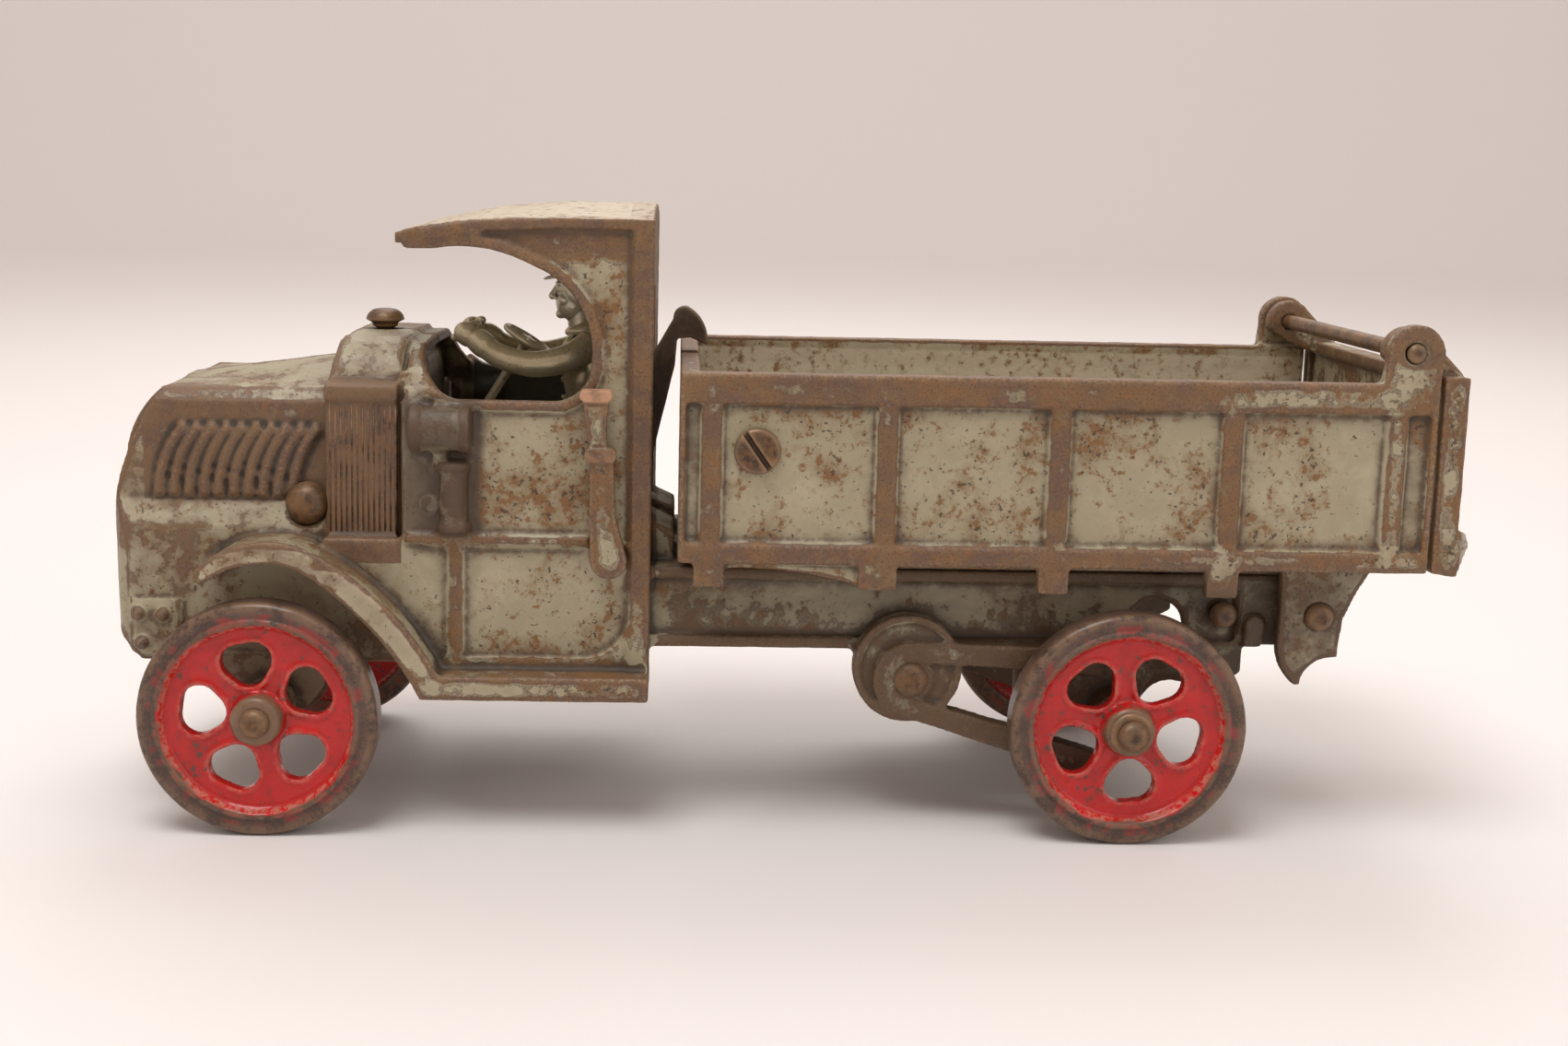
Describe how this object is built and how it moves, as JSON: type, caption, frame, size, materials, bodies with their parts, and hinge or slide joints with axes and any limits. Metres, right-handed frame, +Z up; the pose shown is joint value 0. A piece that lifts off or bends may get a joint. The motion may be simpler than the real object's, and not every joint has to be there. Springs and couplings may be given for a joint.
{
  "type": "toy dump truck",
  "caption": "Old cast-iron toy dump truck: tipping bed held by a hook and side lever, swinging tailgate, seated driver and spoked red wheels.",
  "frame": {"origin": "on the ground, under the middle of the truck's length and width", "axes": "+Z up, nose towards -X, the side with the release lever towards -Y"},
  "size_m": [0.305, 0.103, 0.1413],
  "materials": {
    "painted_iron": "worn sage grey paint over cast iron, rust brown on every edge",
    "bare_iron": "bare iron with an even brown rust",
    "worn_lever": "paint worn to brown iron, thumb piece rubbed to copper brown",
    "hook_iron": "dark oily iron",
    "driver_nickel": "old dark nickel plate, slightly glossy",
    "wheel_red": "red enamel disc, rim rubbed to grey brown iron"
  },
  "bodies": {
    "truck": {"body_left": "painted_iron", "body_right": "painted_iron", "hood_tie_rivet": "bare_iron", "middle_tie_rivet": "bare_iron", "rear_tie_rivet": "bare_iron", "bed_pivot_rod": "bare_iron", "front_axle": "bare_iron", "rear_axle": "bare_iron", "rear_axle_washers": "bare_iron", "radiator_cap": "bare_iron", "driver": "driver_nickel", "steering_wheel": "driver_nickel"},
    "latch": {"latch_shaft": "bare_iron", "release_lever": "worn_lever", "bed_hook": "hook_iron"},
    "bed": {"bed_left": "painted_iron", "bed_right": "painted_iron", "bed_screw": "bare_iron", "bed_nut": "bare_iron", "tailgate_pin": "bare_iron"},
    "gate": {"tailgate": "painted_iron"},
    "front_wheel_left": {"front_wheel_left": "wheel_red"},
    "front_wheel_right": {"front_wheel_right": "wheel_red"},
    "rear_wheel_left": {"rear_wheel_left": "wheel_red"},
    "rear_wheel_right": {"rear_wheel_right": "wheel_red"}
  },
  "joints": [
    {"name": "front_wheel_left_spin", "type": "hinge", "parent": "truck", "child": "front_wheel_left", "pos_m": [-0.117, 0, 0.0267], "axis": [0, 1, 0], "continuous": true},
    {"name": "front_wheel_right_spin", "type": "hinge", "parent": "truck", "child": "front_wheel_right", "pos_m": [-0.117, 0, 0.0267], "axis": [0, 1, 0], "continuous": true},
    {"name": "rear_wheel_left_spin", "type": "hinge", "parent": "truck", "child": "rear_wheel_left", "pos_m": [0.0776, 0, 0.0267], "axis": [0, 1, 0], "continuous": true},
    {"name": "rear_wheel_right_spin", "type": "hinge", "parent": "truck", "child": "rear_wheel_right", "pos_m": [0.0776, 0, 0.0267], "axis": [0, 1, 0], "continuous": true},
    {"name": "bed_tilt", "type": "hinge", "parent": "truck", "child": "bed", "pos_m": [0.122, 0, 0.0514], "axis": [0, 1, 0], "range_deg": [0, 37]},
    {"name": "tailgate_swing", "type": "hinge", "parent": "bed", "child": "gate", "pos_m": [0.1368, 0, 0.1127], "axis": [0, -1, 0], "range_deg": [0, 70]},
    {"name": "latch_release", "type": "hinge", "parent": "truck", "child": "latch", "pos_m": [-0.0398, 0, 0.0626], "axis": [0, -1, 0], "range_deg": [0, 12]}
  ]
}
